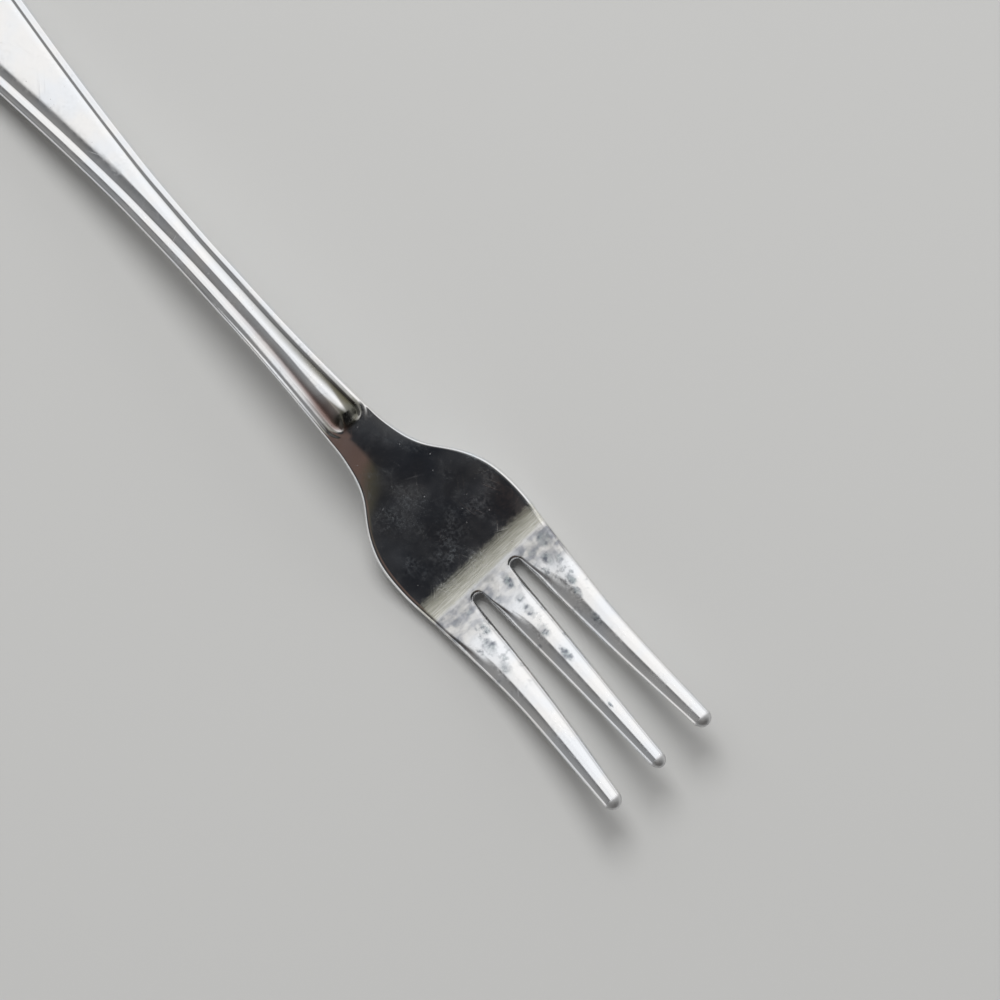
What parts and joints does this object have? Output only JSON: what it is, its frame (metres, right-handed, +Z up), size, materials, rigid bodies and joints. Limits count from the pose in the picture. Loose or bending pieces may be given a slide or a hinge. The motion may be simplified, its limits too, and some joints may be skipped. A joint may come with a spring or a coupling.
{
  "type": "oyster fork",
  "caption": "Small three-tined table fork with a thread-bordered handle: a struck blank under a thin electroplated silver skin.",
  "frame": {"origin": "on the table, under the middle of the fork's length and width, with the fork lying on its back", "axes": "+X along the fork towards the tips of the tines, +Z up through the front, +Y across it"},
  "size_m": [0.1452, 0.0178, 0.01],
  "materials": {
    "nickel_silver": "satin",
    "silver": "polished"
  },
  "bodies": {
    "root": {"blank": "nickel_silver", "silver_plate": "silver"}
  },
  "joints": []
}
